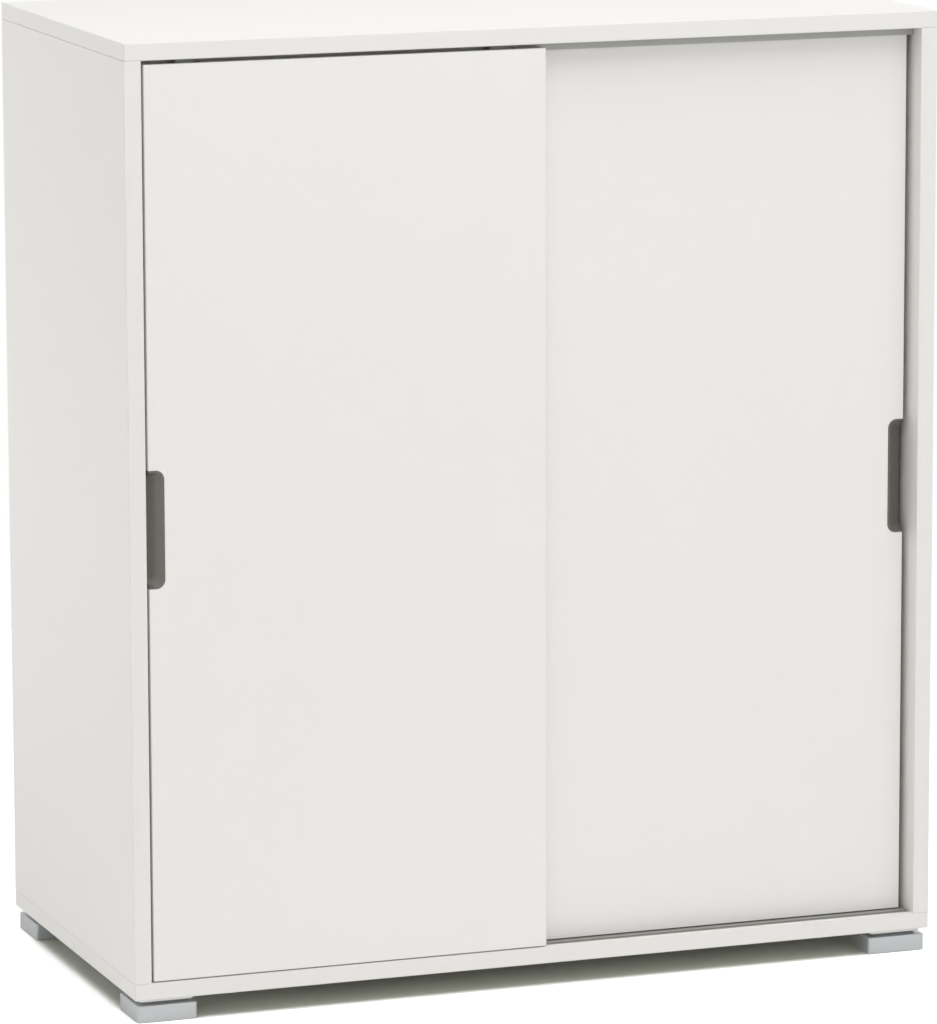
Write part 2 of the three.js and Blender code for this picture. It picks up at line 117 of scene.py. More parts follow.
class CabinetFinishes(bpy.types.PropertyGroup):
    """Colours and gloss of every finish."""

    carcass: colour("Carcass", "Melamine of the carcass and shelves", linear(240, 238, 235))
    door: colour("Doors", "Melamine of both doors", linear(242, 240, 238))
    back: colour("Back", "Lacquered hardboard of the back panel", linear(236, 235, 229))
    core: colour("Core", "Particle board where it is drilled or milled", linear(176, 142, 100))
    # The pulls' dark tone is a painted reflection: the bright metal is darkened as if it reflected
    # dark surroundings
    pull: colour("Pulls", "Dark satin metal of the recessed pulls", linear(116, 112, 106))
    track: colour("Tracks", "Satin anodised aluminium", linear(176, 176, 171))
    foot: colour("Feet", "Silver-grey paint of the foot blocks", linear(202, 205, 207))
    foot_plate: colour("Foot plates", "White plastic of the mounting plates", linear(238, 238, 237))
    # The necks' darker grey is painted shade: plate and neck are one white moulding
    foot_neck: colour("Foot necks", "Grey plastic of the necks", linear(128, 131, 131))
    housing: colour("Housings", "Grey plastic of the roller housings", linear(108, 109, 110))
    guide: colour("Guides", "Pale grey plastic of the guides", linear(152, 152, 150))
    wheel: colour("Wheels", "Natural nylon of the wheels", linear(226, 223, 212))
    steel: colour("Steel", "Zinc-plated steel of screws, pins and axles", linear(196, 196, 192))
    board_roughness: factor("Board roughness", "Roughness of the melamine", 0.42)
    pull_roughness: factor("Pull roughness", "Roughness of the pulls", 0.24)


class CabinetEdges(bpy.types.PropertyGroup):
    """Small radii on the edges of the pieces."""

    board: length("Carcass boards", "Radius of a carcass board's banded edges", 0.001)
    door: length("Doors", "Radius of a door's banded edges", 0.0007)
    track: length("Tracks", "Radius of the tracks' edges", 0.0002)
    fitting: length("Fittings", "Radius of the housings' and guides' edges", 0.0004)
    segments: count("Segments", "Faces across a rounded edge", 3)


class CabinetPulls(bpy.types.PropertyGroup):
    """The recessed pulls, which keep the outline of their CAD nodes."""

    corner: length("Corner", "Radius of the two inner corners", 0.008)
    rim: length("Rim", "Width of the flat rim round the hollow", 0.001)
    depth: length("Depth", "Depth of the hollow at the door's free edge", 0.010)
    power: number("Power", "How soon the hollow reaches its depth", 1.3)
    end_length: length("Ends", "Length over which the hollow's ends rise to the rim", 0.010)
    end_power: number("End power", "How steeply the ends rise", 2.0)
    lip: length("Lip", "Radius of the rim's edges", 0.0003)


class CabinetFittings(bpy.types.PropertyGroup):
    """Sizes of the turned and the small pieces."""

    wheel_hub: length("Wheel hub", "Radius of a wheel's hub", 0.0045)
    wheel_rim: length("Wheel rim", "Thickness of a wheel's rim", 0.0024)
    wheel_web: length("Wheel web", "Depth of the hollow beside a wheel's web", 0.0009)
    wheel_bore: length("Wheel bore", "Radius of a wheel's bore", 0.0023)
    wheel_crown: length("Wheel crown", "How much a wheel's shoulders fall away", 0.0004)
    pin: length("Shelf pin", "Radius of a shelf pin", 0.0025)
    pin_collar: length("Pin collar", "Radius of a shelf pin's collar", 0.004)
    pin_collar_thickness: length("Collar thickness", "Thickness of a pin's collar", 0.001)
    pin_reach: length("Pin reach", "How far a pin stands out of its panel", 0.007)
    screw: length("Screw head", "Radius of a pan head", 0.003)
    screw_height: length("Screw height", "Height of a pan head", 0.0013)
    housing_screw: length("Housing screws", "Distance from the housing's middle", 0.01625)
    guide_screw: length("Guide screw", "Height over the guide's lower end", 0.009)
    foot_screw: length("Foot screw head", "Radius of the head in a foot", 0.0048)
    foot_screw_height: length("Foot screw height", "Height of the head in a foot", 0.0026)
    cap: length("Cap", "Radius of a cam fitting's cover cap", 0.0085)
    cap_height: length("Cap height", "How far a cover cap stands out", 0.0009)
    cap_front: length("Front caps", "Distance from the partition's front edge", 0.05)
    cap_rear: length("Rear caps", "Distance from the partition's rear edge", 0.06)
    cap_end: length("Cap ends", "Distance from the partition's upper and lower end", 0.034)
    foot_corner: length("Foot corner", "Radius of a foot's upright edges", 0.003)
    foot_edge: length("Foot edge", "Radius of a foot block's other edges", 0.0008)
    foot_counterbore: length("Foot counterbore", "Radius of the hole for a foot's screw", 0.0055)
    foot_hole: length("Foot hole", "Radius of a foot's screw hole", 0.00275)
    foot_counterbore_depth: length("Counterbore depth", "Depth of that hole", 0.006)
    plate_overhang: length("Plate overhang", "How far a foot's plate stands out of its neck", 0.004)
    plate_thickness: length("Plate thickness", "Thickness of a foot's plate", 0.003)


class CabinetStudio(bpy.types.PropertyGroup):
    """Camera, floor, world and lamps. A seen colour may pass 1."""

    lens: focus("Lens", "Focal length", 225.70)
    camera_place: point("Camera place", "Where the camera stands", (-2.0767, -5.7146, 1.5302))
    yaw: angle("Yaw", "Turn of the view from +Y towards +X", math.radians(19.985))
    pitch: angle("Pitch", "Tilt of the view below the horizon", math.radians(10.328))
    roll: angle("Roll", "Turn about the line of sight", math.radians(-0.161))
    floor_bounce: colour("Floor", "Colour that the floor throws back", linear(250, 250, 248))
    floor_seen: seen_colour("Seen floor", "Its colour for the camera in the open", (2.0, 2.0, 2.0))
    floor_shade: seen_colour("Shaded floor", "The same where it is covered", (0.62, 0.64, 0.56))
    sky: number("Sky", "Strength of the white surroundings as a light", 0.42)
    top_lamp: power("Top lamp", "Power of the soft lamp overhead and in front", 62.0)
    front_lamp: power("Front lamp", "Power of the low soft lamp in front", 16.0)
    left_lamp: power("Left lamp", "Power of the low soft lamp at the left", 21.0)
    right_lamp: power("Right lamp", "Power of the soft lamp at the front right", 18.0)


# Materials

class Nodes:
    """Short ways to add nodes to a node tree."""

    def __init__(self, tree):
        self.tree = tree

    def node(self, kind, inputs, **settings):
        """A node whose inputs are values or other nodes' outputs."""
        made = self.tree.nodes.new(kind)
        for key, value in settings.items():
            setattr(made, key, value)
        for key, value in inputs.items():
            if isinstance(value, bpy.types.NodeSocket):
                self.tree.links.new(value, made.inputs[key])
            else:
                made.inputs[key].default_value = value
        return made

    def ranged(self, value, low, high, start=0.0, end=1.0, **settings):
        """The value carried from start..end to low..high and held there."""
        inputs = {"Value": value, "From Min": start, "From Max": end, "To Min": low, "To Max": high}
        return self.node("ShaderNodeMapRange", inputs, **settings).outputs["Result"]

    def mixed(self, share, first, second):
        """From the first colour to the second as the share grows."""
        inputs = {0: share, 6: opaque(first), 7: opaque(second)}
        return self.node("ShaderNodeMix", inputs, data_type="RGBA").outputs[2]

    def blended(self, share, first, second):
        """From the first shader to the second as the share grows."""
        inputs = {"Fac": share, 1: first.outputs[0], 2: second.outputs[0]}
        return self.node("ShaderNodeMixShader", inputs)

    def seen_directly(self):
        """1 for camera, glossy and transmission rays."""
        rays = self.node("ShaderNodeLightPath", {}).outputs
        value = rays["Is Camera Ray"]
        for name in ("Is Glossy Ray", "Is Transmission Ray"):
            inputs = {0: value, 1: rays[name]}
            value = self.node("ShaderNodeMath", inputs, operation="MAXIMUM").outputs[0]
        return value


class Recipe(Nodes):
    """A new material with its shader and Object coordinates at hand."""

    def __init__(self, name, metallic=0.0):
        self.material = bpy.data.materials.new(name)
        self.material.use_nodes = True
        super().__init__(self.material.node_tree)
        self.shader = self.tree.nodes["Principled BSDF"]
        self.shader.inputs["Metallic"].default_value = metallic
        self.place = self.tree.nodes.new("ShaderNodeTexCoord").outputs["Object"]
        self.relief = None

    def noise(self, per_metre, detail=2.0, roughness=0.5):
        """Noise with so many features per metre along X, Y and Z."""
        scale = np.broadcast_to(per_metre, 3).tolist()
        scaled = self.node("ShaderNodeMapping", {"Vector": self.place, "Scale": scale})
        vector = scaled.outputs["Vector"]
        inputs = {"Vector": vector, "Scale": 1.0, "Detail": detail, "Roughness": roughness}
        return self.node("ShaderNodeTexNoise", inputs).outputs["Fac"]

    def cells(self, per_metre):
        """A random grey for each cell, with so many cells per metre."""
        inputs = {"Vector": self.place, "Scale": per_metre}
        tones = self.node("ShaderNodeTexVoronoi", inputs).outputs["Color"]
        return self.node("ShaderNodeSeparateColor", {"Color": tones}).outputs["Red"]

    def finished(self, tone, roughness):
        """Gives the shader its colour and roughness."""
        self.tree.links.new(tone, self.shader.inputs["Base Color"])
        self.tree.links.new(roughness, self.shader.inputs["Roughness"])

    def bumped(self, height, distance, strength):
        """Adds one more layer of relief, distance deep."""
        inputs = {"Height": height, "Distance": distance, "Strength": strength}
        if self.relief is not None:
            inputs["Normal"] = self.relief
        self.relief = self.node("ShaderNodeBump", inputs).outputs["Normal"]
        self.tree.links.new(self.relief, self.shader.inputs["Normal"])


def opaque(value):
    """A colour with full alpha, or a socket as it is."""
    return value if isinstance(value, bpy.types.NodeSocket) else (*value[:3], 1.0)


def shaded(value, share):
    """A colour times a share."""
    return tuple(channel * share for channel in value[:3])


def melamine(name, tone, roughness):
    """Melamine on particle board: a fine pearl, a faint wave and slow changes of tone and gloss."""
    recipe = Recipe(name)
    recipe.finished(
        recipe.mixed(recipe.noise(5.0, 3.0), shaded(tone, 0.985), tone),
        recipe.ranged(recipe.noise(38.0, 3.0), roughness - 0.04, roughness + 0.04),
    )
    recipe.bumped(recipe.noise(55.0, 1.0), 0.00004, 0.25)
    recipe.bumped(recipe.noise(1500.0, 1.0), 0.00001, 0.3)
    return recipe.material


def banding(name, tone, roughness):
    """Edge banding: a shade darker than the faces, with the fine chatter of its trimming."""
    recipe = Recipe(name)
    recipe.finished(
        recipe.mixed(recipe.noise(14.0, 3.0), shaded(tone, 0.965), shaded(tone, 0.99)),
        recipe.ranged(recipe.noise(160.0, 2.0), roughness - 0.07, roughness + 0.02),
    )
    recipe.bumped(recipe.noise(2600.0, 1.0), 0.000008, 0.35)
    return recipe.material


def rounding_with_painted_shade_and_wear(name, tone, roughness):
    """The scraped radius of a banded edge, with painted shade: the whole radius is darker than the
    faces so that board edges and joints show as dark lines. It is smoother where it is touched,
    with small dull scuffs.
    """
    recipe = Recipe(name)
    scuffs = recipe.ranged(recipe.noise(420.0, 3.0, 0.6), 0.0, 1.0, 0.60, 0.74)
    recipe.finished(
        # Painted shade: every rounding is 0.93 of the face tone; the scuffs at 0.80 are wear
        recipe.mixed(scuffs, shaded(tone, 0.93), shaded(tone, 0.80)),
        recipe.ranged(scuffs, roughness - 0.12, roughness + 0.12),
    )
    return recipe.material


def particle_board(name, tone):
    """Pressed chips in several browns, open and rough."""
    recipe = Recipe(name)
    light = tuple(min(1.0, channel) for channel in shaded(tone, 1.35))
    recipe.finished(
        recipe.mixed(recipe.cells(620.0), shaded(tone, 0.55), light),
        recipe.ranged(recipe.noise(300.0), 0.8, 0.95),
    )
    recipe.bumped(recipe.noise(1100.0, 3.0), 0.0003, 0.8)
    return recipe.material


def hardboard(name, tone):
    """Lacquered hardboard: a soft orange peel over a matt white."""
    recipe = Recipe(name)
    recipe.finished(
        recipe.mixed(recipe.noise(9.0, 4.0), shaded(tone, 0.97), tone),
        recipe.ranged(recipe.noise(70.0), 0.55, 0.68),
    )
    recipe.bumped(recipe.noise(420.0, 2.0), 0.00004, 0.4)
    return recipe.material


def drawn_metal(name, tone, roughness, grain, depth=0.000004, metallic=1.0):
    """Metal with a grain: grain gives the features per metre along X, Y and Z."""
    recipe = Recipe(name, metallic)
    lines = recipe.noise(grain, 3.0, 0.6)
    tones = recipe.mixed(lines, shaded(tone, 0.9), shaded(tone, 1.08))
    marks = recipe.ranged(recipe.noise(260.0, 4.0, 0.65), 0.0, 0.5, 0.62, 0.8)
    recipe.finished(
        recipe.mixed(marks, tones, shaded(tone, 1.3)),
        recipe.ranged(lines, roughness - 0.06, roughness + 0.08),
    )
    recipe.bumped(lines, depth, 0.6)
    return recipe.material


def silver_paint(name, tone):
    """Silver-grey powder coat: metallic flakes in a satin film."""
    recipe = Recipe(name, metallic=0.45)
    recipe.finished(
        recipe.mixed(recipe.cells(3200.0), shaded(tone, 0.93), shaded(tone, 1.05)),
        recipe.ranged(recipe.noise(500.0, 3.0), 0.26, 0.36),
    )
    recipe.bumped(recipe.noise(900.0, 2.0), 0.00002, 0.3)
    return recipe.material


def moulded_plastic(name, tone, roughness, texture=2200.0):
    """Moulded plastic with a spark-eroded texture and faint flow marks."""
    recipe = Recipe(name)
    recipe.finished(
        recipe.mixed(recipe.noise(40.0, 4.0), shaded(tone, 0.93), shaded(tone, 1.04)),
        recipe.ranged(recipe.noise(240.0, 3.0), roughness - 0.06, roughness + 0.08),
    )
    recipe.bumped(recipe.noise(texture, 2.0), 0.00002, 0.45)
    return recipe.material


def rolling_nylon(name, tone):
    """Nylon that has greyed where it rolls. The piece's tread attribute is 1 on the tread."""
    recipe = Recipe(name)
    tread = recipe.node("ShaderNodeAttribute", {}, attribute_name="tread").outputs["Fac"]
    patches = recipe.ranged(recipe.noise(500.0, 3.0), 0.3, 1.0, 0.35, 0.65)
    product = recipe.node("ShaderNodeMath", {0: tread, 1: patches}, operation="MULTIPLY")
    grime = product.outputs[0]
    recipe.finished(
        recipe.mixed(grime, tone, shaded(tone, 0.6)), recipe.ranged(grime, 0.32, 0.5)
    )
    recipe.bumped(recipe.noise(900.0, 2.0), 0.00001, 0.4)
    return recipe.material


def finish(name, make, *values):
    """The material of that name, made on first use."""
    return bpy.data.materials.get(name) or make(name, *values)


def steel_finish():
    """Zinc-plated steel with fine rubbed marks."""
    tone = bpy.context.scene.cabinet_finishes.steel
    return finish("zinc-plated steel", drawn_metal, tone, 0.3, 1300.0)


# Meshes

MERGE_DISTANCE = 1e-7
CAD_MERGE_DISTANCE = 1e-6
ON_BOX = 1e-5
FLAT_ANGLE = math.radians(0.5)
SHARP_ANGLE = math.radians(32)
MOST_OF_A_SIDE = 0.499


def linked(data):
    """A new object in the scene, named after its data."""
    made = bpy.data.objects.new(data.name, data)
    bpy.context.scene.collection.objects.link(made)
    return made


def add_piece(mesh, body, materials, replaced=()):
    """Links a mesh as a piece that rides on a body and stands for CAD nodes."""
    for material in materials:
        mesh.materials.append(material)
    piece = linked(mesh)
    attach(piece, body)
    if replaced:
        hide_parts(*replaced)
    return piece


def corners_of(node):
    """The lowest and the highest corner of a CAD node's box, as arrays."""
    low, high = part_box(node)
    return np.array(low), np.array(high)


def body_of(node):
    """The CAD body that a node rides on."""
    return frame["nodes"][node]["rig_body"]


def grid_mesh(name, grids, wrap_rows=False, wrap_columns=True):
    """One mesh from grids of points, each rows x columns x 3.

    Four neighbours in a grid make a face. A grid wraps round in its rows or columns where asked.
    Doubles at poles and seams are merged, faces are turned outwards and shading stops at sharp
    edges.
    """
    points, quads, start = [], [], 0
    for grid in grids:
        rows, columns = grid.shape[:2]
        r, c = np.meshgrid(
            np.arange(rows if wrap_rows else rows - 1),
            np.arange(columns if wrap_columns else columns - 1),
            indexing="ij",
        )
        r_next, c_next = (r + 1) % rows, (c + 1) % columns
        corners = [(r, c), (r, c_next), (r_next, c_next), (r_next, c)]
        quad = np.stack([row * columns + column for row, column in corners], axis=-1)
        quads.append(quad.reshape(-1, 4) + start)
        points.append(grid.reshape(-1, 3))
        start += rows * columns
    mesh = bpy.data.meshes.new(name)
    mesh.from_pydata(np.concatenate(points), [], np.concatenate(quads))
    made = bmesh.new()
    made.from_mesh(mesh)
    bmesh.ops.remove_doubles(made, verts=made.verts, dist=MERGE_DISTANCE)
    bmesh.ops.dissolve_degenerate(made, edges=made.edges, dist=MERGE_DISTANCE)
    bmesh.ops.recalc_face_normals(made, faces=made.faces)
    made.to_mesh(mesh)
    made.free()
    mesh.shade_smooth()
    mesh.set_sharp_from_angle(angle=SHARP_ANGLE)
    return mesh


def rounded_path(corners, radii, closed=False, steps=5):
    """A path of points with its corners rounded.

    At a corner c with neighbours a and b, the curve (1-t)^2 s + 2t(1-t) c + t^2 e runs from s,
    one radius back towards a, to e, one radius on towards b. A radius stays under half a side.
    """
    here = np.array(corners, float)
    before, after = np.roll(here, 1, axis=0), np.roll(here, -1, axis=0)
    back, on = before - here, after - here
    back_length = np.linalg.norm(back, axis=1, keepdims=True)
    on_length = np.linalg.norm(on, axis=1, keepdims=True)
    radius = np.broadcast_to(np.asarray(radii, float), len(here))[:, None]
    if not closed:
        radius = radius * (np.arange(len(here)) % (len(here) - 1) > 0)[:, None]
    radius = np.minimum(radius, MOST_OF_A_SIDE * np.minimum(back_length, on_length))
    start = (here + back / back_length * radius)[:, None]
    end = (here + on / on_length * radius)[:, None]
    t = np.linspace(0, 1, steps)[None, :, None]
    curve = (1 - t) ** 2 * start + 2 * t * (1 - t) * here[:, None] + t**2 * end
    return curve.reshape(-1, curve.shape[-1])


def turned(profile, centre, axis, across, columns=48):
    """A profile of radius and height turned about an axis through a centre.

    point = centre + height * axis + radius * (cos(angle) * across + sin(angle) * axis x across)
    """
    angles = np.linspace(0, 2 * np.pi, columns, endpoint=False)
    radius, height = profile[:, 0, None, None], profile[:, 1, None, None]
    second = np.cross(axis, across)
    spokes = np.cos(angles)[:, None] * across + np.sin(angles)[:, None] * second
    return np.asarray(centre) + height * np.asarray(axis) + radius * spokes[None]


def dressed_copy(node, name, materials, radius, sort_faces=None):
    """A copy of a CAD node whose triangles are joined into flat faces and whose edges are rounded.

    sort_faces(face) gives a face's material slot, and the last slot goes to the roundings.
    """
    made = bmesh.new()
    made.from_mesh(frame["nodes"][node].data)
    bmesh.ops.remove_doubles(made, verts=made.verts, dist=CAD_MERGE_DISTANCE)
    bmesh.ops.dissolve_limit(made, angle_limit=FLAT_ANGLE, verts=made.verts, edges=made.edges)
    made.normal_update()
    for face in made.faces:
        face.material_index = sort_faces(face) if sort_faces else 0
    mesh = bpy.data.meshes.new(name)
    made.to_mesh(mesh)
    made.free()
    mesh.shade_smooth()
    piece = add_piece(mesh, body_of(node), materials, [node])
    bevel = piece.modifiers.new("Rounded edges", "BEVEL")
    bevel.width = radius
    bevel.segments = bpy.context.scene.cabinet_edges.segments
    bevel.limit_method = "ANGLE"
    bevel.angle_limit = SHARP_ANGLE
    bevel.material = len(materials) - 1
    flat = piece.modifiers.new("Flat faces", "WEIGHTED_NORMAL")
    flat.mode = "FACE_AREA"
    flat.weight = 100


def board_slots(node):
    """Sorts a board's faces: 0 for its broad ones, 1 for its narrow ones, 2 for what is cut in."""
    low, high = corners_of(node)
    thin = int(np.argmin(high - low))

    def sort(face):
        axis = int(np.argmax(np.abs(face.normal)))
        place = face.calc_center_median()[axis]
        if min(abs(place - low[axis]), abs(place - high[axis])) > ON_BOX:
            return 2
        return 0 if axis == thin else 1

    return sort


# Boards

def dress_board(node, kind, tone, radius):
    """A melamine board with its faces, banding, core and roundings in four slots."""
    finishes = bpy.context.scene.cabinet_finishes
    roughness = finishes.board_roughness
    materials = [
        finish(f"{kind} melamine", melamine, tone, roughness),
        finish(f"{kind} edge banding", banding, tone, roughness),
        finish("particle board", particle_board, finishes.core),
        # The last slot, on the roundings, paints shade along every edge and joint and adds worn
        # scuffs
        finish(f"{kind} worn rounding", rounding_with_painted_shade_and_wear, tone, roughness),
    ]
    dressed_copy(node, f"{node}_board", materials, radius, board_slots(node))


class CABINET_OT_carcass(bpy.types.Operator):
    """Dresses the carcass panels, the partition and the back panel"""

    bl_idname = "cabinet.carcass"
    bl_label = "Carcass"

    def execute(self, context):
        finishes, edges = context.scene.cabinet_finishes, context.scene.cabinet_edges
        panels = ["top_panel", "bottom_panel", "centre_partition"]
        panels += [f"{side}_side_panel" for side in SIDES]
        for node in panels:
            dress_board(node, "carcass", finishes.carcass, edges.board)
        board = finish("lacquered hardboard", hardboard, finishes.back)
        dressed_copy("back_panel", "back_panel_board", [board], edges.track)
        return {"FINISHED"}


class CABINET_OT_shelves(bpy.types.Operator):
    """Dresses the four shelves"""

    bl_idname = "cabinet.shelves"
    bl_label = "Shelves"

    def execute(self, context):
        tone = context.scene.cabinet_finishes.carcass
        radius = context.scene.cabinet_edges.board
        for shelf in SHELVES:
            dress_board(f"{shelf}_shelf", "carcass", tone, radius)
        return {"FINISHED"}


class CABINET_OT_doors(bpy.types.Operator):
    """Dresses the two door panels"""

    bl_idname = "cabinet.doors"
    bl_label = "Doors"

    def execute(self, context):
        tone = context.scene.cabinet_finishes.door
        radius = context.scene.cabinet_edges.door
        for door in DOORS:
            dress_board(f"{door}_panel", "door", tone, radius)
        return {"FINISHED"}


# Tracks and pulls

class CABINET_OT_tracks(bpy.types.Operator):
    """Dresses the twin-channel tracks as drawn aluminium"""

    bl_idname = "cabinet.tracks"
    bl_label = "Tracks"

    def execute(self, context):
        tone = context.scene.cabinet_finishes.track
        grain = (6.0, 2600.0, 2600.0)
        metal = finish("matt anodising", drawn_metal, tone, 0.45, grain, 0.000004, 0.4)
        radius = context.scene.cabinet_edges.track
        for end in ("top", "bottom"):
            dressed_copy(f"{end}_track", f"{end}_track_profile", [metal], radius)
        return {"FINISHED"}


CORNER_ROWS, STRAIGHT_ROWS = 26, 24
HOLLOW_COLUMNS, LIP_COLUMNS = 44, 5


def pull_grid(node, free_side):
    """The shell of a recessed pull as one closed grid of sections along its height.

    Across is measured from the inner side and drop from the door's face. At height h from the
    middle, the outline starts at across = c - sqrt(c^2 - (|h| - m)^2) beyond m, where the corner
    of radius c begins, and the hollow starts in the same way one rim further in. The hollow's
    depth is D (1 - (1 - s)^p) with s its share of the way across, times 1 - (1 - e)^q with e the
    share of the end length that is left to the rim. The rim's edges are rounded by the lip.
    """
    pull = bpy.context.scene.cabinet_pulls
    low, high = corners_of(node)
    width, thickness, tall = high - low
    half = tall / 2
    bend = half - pull.corner
    spread = np.sin(np.linspace(0, np.pi / 2, CORNER_ROWS))
    corner_part = bend + (half - bend) * spread
    straight_part = np.linspace(0, bend, STRAIGHT_ROWS)[:-1]
    upper = np.concatenate([straight_part, corner_part])
    heights = np.concatenate([-upper[:0:-1], upper])[:, None]
    over = np.clip(np.abs(heights) - bend, 0, None)
    outer = pull.corner - np.sqrt(np.clip(pull.corner**2 - over**2, 0, None))
    inner_corner = pull.corner - pull.rim
    inner = pull.corner - np.sqrt(np.clip(inner_corner**2 - over**2, 0, None))
    fall = np.clip(np.abs(heights) - (half - pull.lip), 0, pull.lip)
    edge = pull.lip - np.sqrt(pull.lip**2 - fall**2)

    share = (1 - np.cos(np.linspace(0, np.pi, HOLLOW_COLUMNS))) / 2
    across = inner + share[None] * (width - inner)
    reach = np.clip((across - pull.rim) / (width - pull.rim), 0, 1)
    hollow = pull.depth * (1 - (1 - reach) ** pull.power)
    beside = np.clip(inner_corner**2 - np.clip(pull.corner - across, 0, None) ** 2, 0, None)
    left = np.clip(bend + np.sqrt(beside) - np.abs(heights), 0, None)
    ends = np.clip(left / pull.end_length, 0, 1)
    drop = hollow * (1 - (1 - ends) ** pull.end_power) + edge

    quarter = np.linspace(0, np.pi / 2, LIP_COLUMNS)[None]
    lip_across = outer + pull.lip * (1 - np.cos(quarter))
    lip_drop = edge + pull.lip * (1 - np.sin(quarter))
    back = np.full_like(heights, thickness)
    free_edge = np.full_like(heights, width)
    section_across = np.concatenate([free_edge, outer, lip_across, across[:, 1:]], axis=1)
    section_drop = np.concatenate([back, back, lip_drop, drop[:, 1:]], axis=1)
    inner_side = low[0] if free_side > 0 else high[0]
    x = inner_side + free_side * section_across
    z = np.broadcast_to(low[2] + half + heights, x.shape)
    shell = np.stack([x, low[1] + section_drop, z], axis=-1)
    middle = shell.mean(axis=1, keepdims=True)
    first = np.broadcast_to(middle[:1], shell[:1].shape)
    last = np.broadcast_to(middle[-1:], shell[-1:].shape)
    return np.concatenate([first, shell, last])


class CABINET_OT_pulls(bpy.types.Operator):
    """Makes the recessed pulls as smooth shells of satin metal whose dark tone is a painted
    reflection
    """

    bl_idname = "cabinet.pulls"
    bl_label = "Pulls"

    def execute(self, context):
        finishes = context.scene.cabinet_finishes
        # Painted reflection: the metal's dark tone stands in for the dark surroundings it reflects
        metal = finish(
            "dark satin metal", drawn_metal, finishes.pull, finishes.pull_roughness,
            (3200.0, 3200.0, 60.0), 0.000003, 0.35,
        )
        for door, free_side in zip(DOORS, (-1, 1)):
            node = f"{door}_pull"
            mesh = grid_mesh(f"{node}_shell", [pull_grid(node, free_side)])
            add_piece(mesh, door, [metal], [node])
        return {"FINISHED"}


# Roller units, guides, pins and feet

WHEEL_ROUNDING, AXLE_ROUNDING = 0.00025, 0.0003
TREAD_START, TREAD_FULL = 0.93, 0.98


def wheel_profile(radius, half, fittings):
    """Radius and height round a wheel's section: bore, hub, web, rim and a crowned tread."""
    web = half - fittings.wheel_web
    rim = radius - fittings.wheel_rim
    crown = fittings.wheel_crown
    hub, bore = fittings.wheel_hub, fittings.wheel_bore
    lower = [
        (bore, -half), (hub, -half), (hub, -web), (rim, -web), (rim, -half),
        (radius - crown, -half), (radius, crown - half),
    ]
    upper = [(r, -h) for r, h in reversed(lower)]
    return rounded_path(lower + upper, WHEEL_ROUNDING, closed=True)


class CABINET_OT_wheels(bpy.types.Operator):
    """Makes the nylon wheels and their steel axles"""

    bl_idname = "cabinet.wheels"
    bl_label = "Wheels"

    def execute(self, context):
        scene = context.scene
        nylon = finish("natural nylon", rolling_nylon, scene.cabinet_finishes.wheel)
        for door_end in DOOR_ENDS:
            self.make_wheel(door_end, nylon, scene.cabinet_fittings)
        return {"FINISHED"}

    def make_wheel(self, door_end, nylon, fittings):
        node = f"{door_end}_wheel"
        low, high = corners_of(node)
        centre, half = (low + high) / 2, (high[1] - low[1]) / 2
        radius = (high[2] - low[2]) / 2
        profile = wheel_profile(radius, half, fittings)
        grid = turned(profile, centre, Y_AXIS, X_AXIS, columns=72)
        mesh = grid_mesh(f"{node}_nylon", [grid], wrap_rows=True)
        points = np.empty(len(mesh.vertices) * 3)
        mesh.vertices.foreach_get("co", points)
        away = points.reshape(-1, 3) - centre
        outwards = np.hypot(away[:, 0], away[:, 2]) / radius
        tread = np.interp(outwards, [TREAD_START, TREAD_FULL], [0, 1])
        attribute = mesh.attributes.new("tread", "FLOAT", "POINT")
        attribute.data.foreach_set("value", tread.astype(np.float32))
        add_piece(mesh, body_of(node), [nylon], [node])
        self.make_axle(f"{door_end}_axle")

    def make_axle(self, node):
        low, high = corners_of(node)
        centre = (low + high) / 2
        radius, half = (high[2] - low[2]) / 2, (high[1] - low[1]) / 2
        corners = [(0, -half), (radius, -half), (radius, half), (0, half)]
        profile = rounded_path(corners, AXLE_ROUNDING)
        mesh = grid_mesh(f"{node}_pin", [turned(profile, centre, Y_AXIS, X_AXIS)])
        add_piece(mesh, body_of(node), [steel_finish()], [node])


class CABINET_OT_housings(bpy.types.Operator):
    """Dresses the roller housings and the door guides as moulded plastic"""

    bl_idname = "cabinet.housings"
    bl_label = "Housings and guides"

    def execute(self, context):
        finishes = context.scene.cabinet_finishes
        plastics = {
            "roller_housing": finish("grey plastic", moulded_plastic, finishes.housing, 0.5),
            "guide": finish("pale grey plastic", moulded_plastic, finishes.guide, 0.5),
        }
        radius = context.scene.cabinet_edges.fitting
        for door_end in DOOR_ENDS:
            for kind, plastic in plastics.items():
                node = f"{door_end}_{kind}"
                dressed_copy(node, f"{node}_moulding", [plastic], radius)
        return {"FINISHED"}


PIN_ROUNDINGS = (0, 0.0005, 0, 0.0002, 0.0003, 0.0003, 0.0009, 0)


